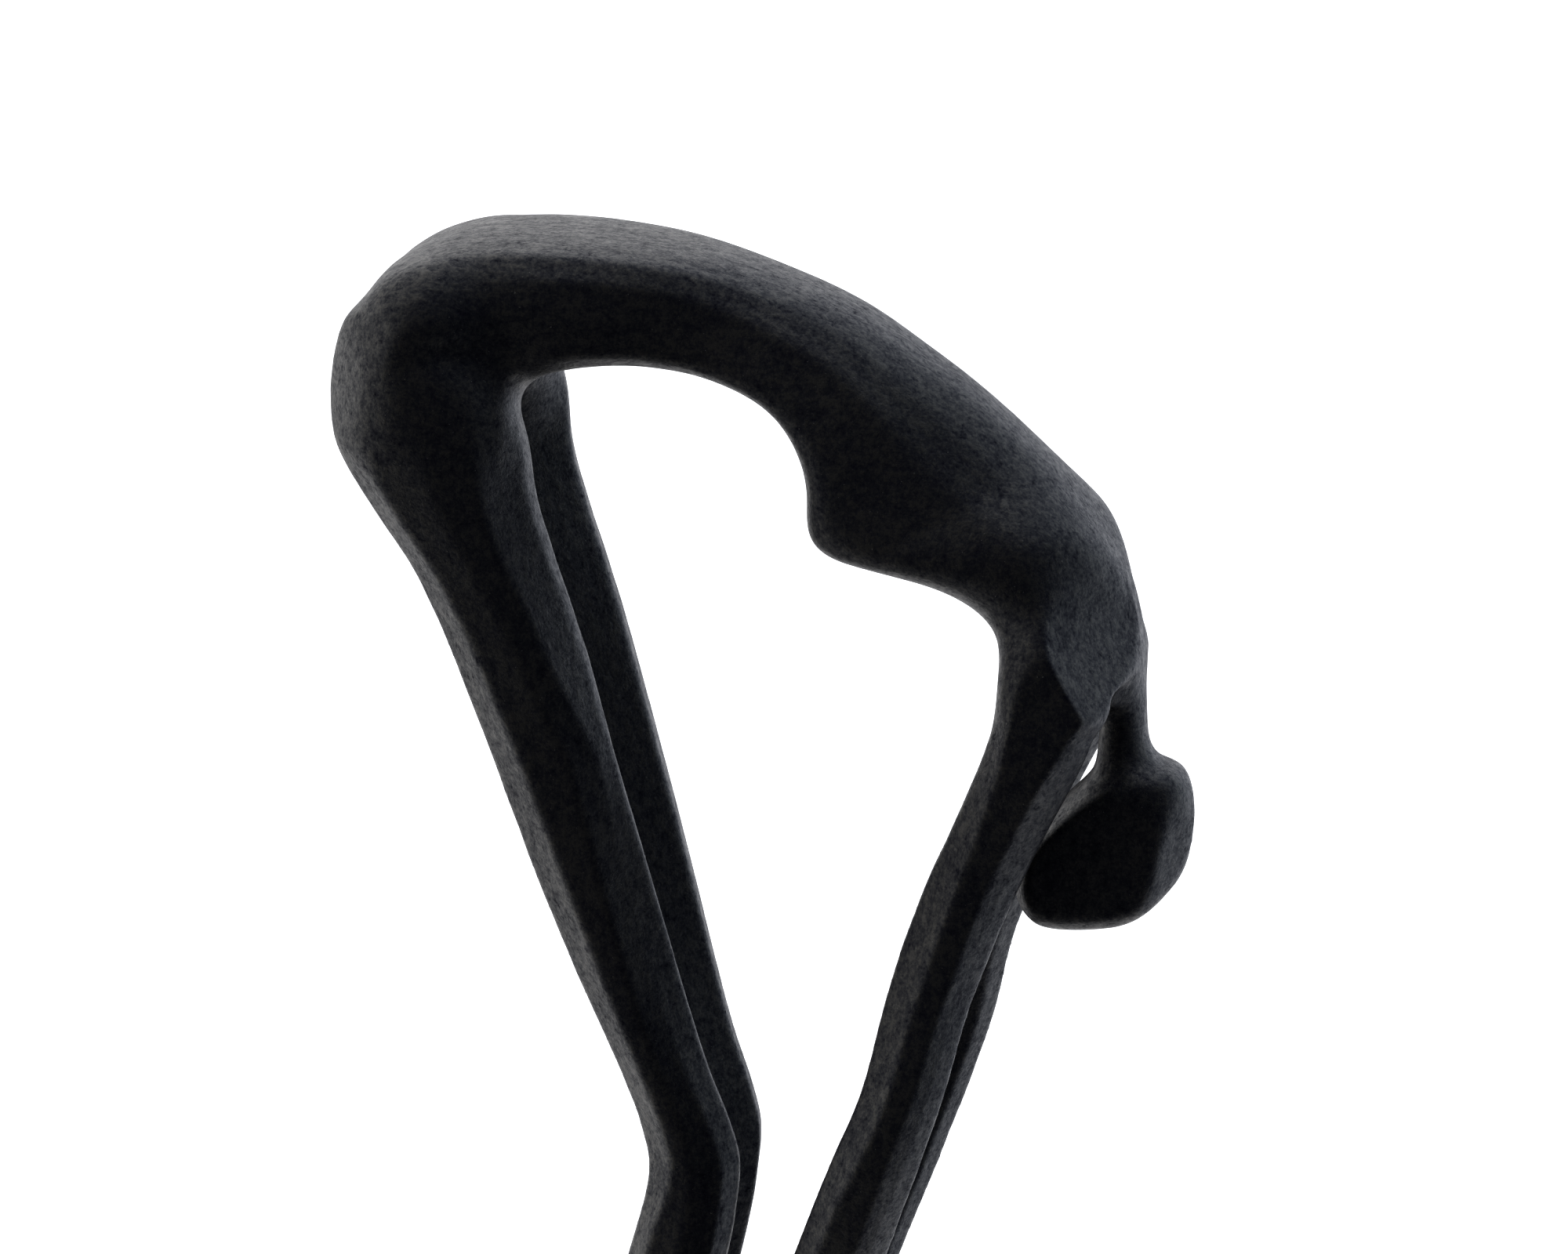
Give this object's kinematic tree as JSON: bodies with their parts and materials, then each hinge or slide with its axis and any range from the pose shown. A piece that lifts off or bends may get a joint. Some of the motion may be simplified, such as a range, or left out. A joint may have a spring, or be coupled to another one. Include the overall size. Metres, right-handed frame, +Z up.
{
  "type": "table sculpture",
  "caption": "Slender faceless figure bent forward from the hips with its hands on its insteps, in dark cast iron on a low rectangular plinth with a felt underside.",
  "frame": {"origin": "centre of the underside, at the bottom centre of the bounding box", "axes": "+Z up, +X the way the figure faces and bends, +Y towards its left side"},
  "size_m": [0.17, 0.09, 0.3388],
  "materials": {
    "patinated_iron": "waxed dark patina over a fine as-cast grain",
    "plinth_iron": "waxed dark patina, ground flat on top",
    "steel": "bright zinc",
    "felt": "black wool felt"
  },
  "bodies": {
    "root": {"torso_casting": "patinated_iron", "head_casting": "patinated_iron", "right_arm_casting": "patinated_iron", "left_arm_casting": "patinated_iron", "right_leg_casting": "patinated_iron", "left_leg_casting": "patinated_iron", "neck_dowel": "steel", "right_shoulder_dowel": "steel", "left_shoulder_dowel": "steel", "right_hip_dowel": "steel", "left_hip_dowel": "steel", "right_hand_pin": "steel", "left_hand_pin": "steel", "right_foot_stud": "steel", "left_foot_stud": "steel", "stud_washers": "steel", "stud_nuts": "steel", "plinth": "plinth_iron", "felt_pad": "felt"}
  },
  "joints": []
}
